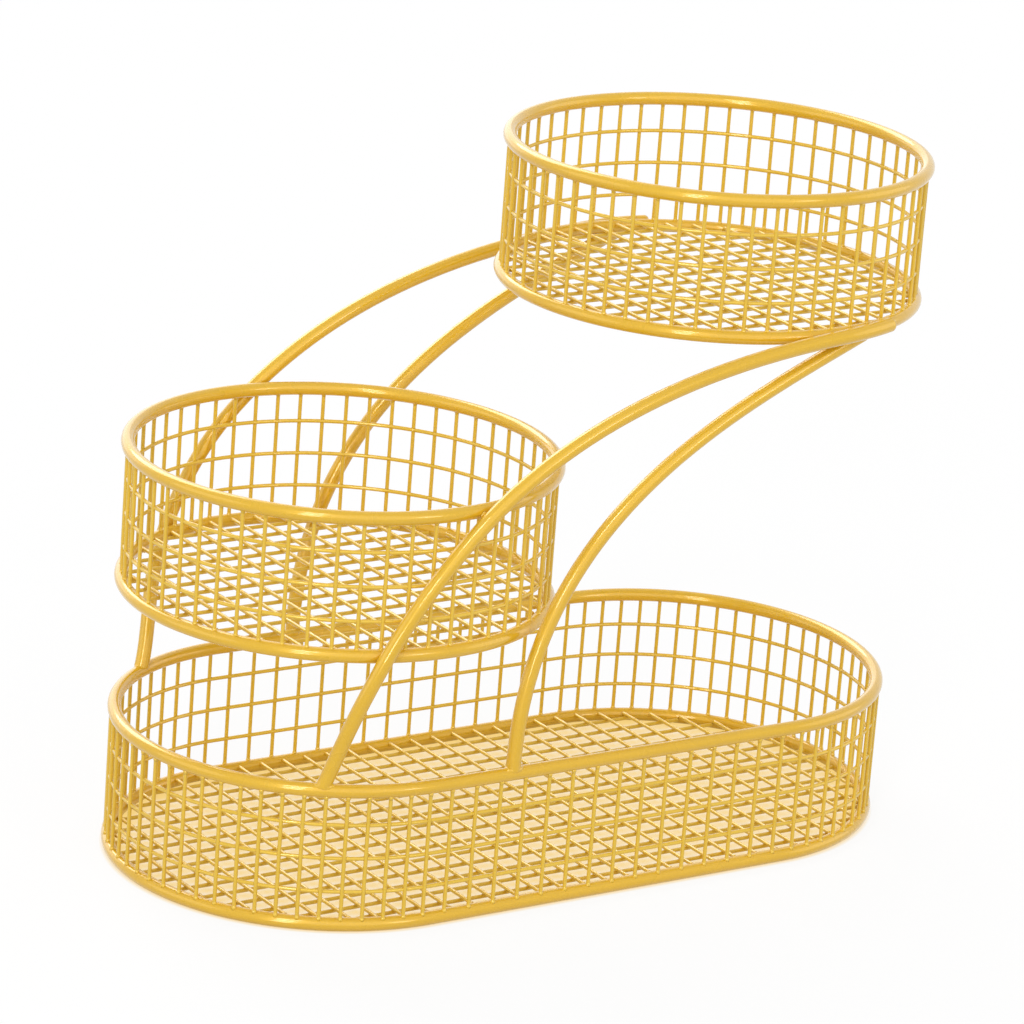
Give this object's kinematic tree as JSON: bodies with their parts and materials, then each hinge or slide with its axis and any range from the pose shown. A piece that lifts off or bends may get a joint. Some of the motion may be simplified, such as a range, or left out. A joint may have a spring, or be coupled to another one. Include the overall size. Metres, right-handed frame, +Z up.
{
  "type": "tiered wire basket",
  "caption": "Free-standing tiered wire basket: a long oval base and two round baskets stepped up over it on arched wires, for fruit, cosmetics or small goods.",
  "frame": {"origin": "centre of the bounding box in plan, on the surface that the base basket stands on", "axes": "+X along the base towards the end under the upper basket, -Y towards the front, +Z up"},
  "size_m": [0.3496, 0.1898, 0.2856],
  "materials": {
    "rim_wire": "glossy golden yellow paint",
    "mesh_wire": "glossy golden yellow paint",
    "support_wire": "glossy golden yellow paint"
  },
  "bodies": {
    "root": {"base_top_rim": "rim_wire", "base_bottom_rim": "rim_wire", "middle_top_rim": "rim_wire", "middle_bottom_rim": "rim_wire", "upper_top_rim": "rim_wire", "upper_bottom_rim": "rim_wire", "base_lower_hoop": "mesh_wire", "base_middle_hoop": "mesh_wire", "base_upper_hoop": "mesh_wire", "middle_lower_hoop": "mesh_wire", "middle_middle_hoop": "mesh_wire", "middle_upper_hoop": "mesh_wire", "upper_lower_hoop": "mesh_wire", "upper_middle_hoop": "mesh_wire", "upper_upper_hoop": "mesh_wire", "base_uprights": "mesh_wire", "middle_uprights": "mesh_wire", "upper_uprights": "mesh_wire", "base_floor_long_wires": "mesh_wire", "base_floor_cross_wires": "mesh_wire", "middle_floor_long_wires": "mesh_wire", "middle_floor_cross_wires": "mesh_wire", "upper_floor_long_wires": "mesh_wire", "upper_floor_cross_wires": "mesh_wire", "front_outer_support": "support_wire", "front_inner_support": "support_wire", "back_outer_support": "support_wire", "back_inner_support": "support_wire"}
  },
  "joints": []
}
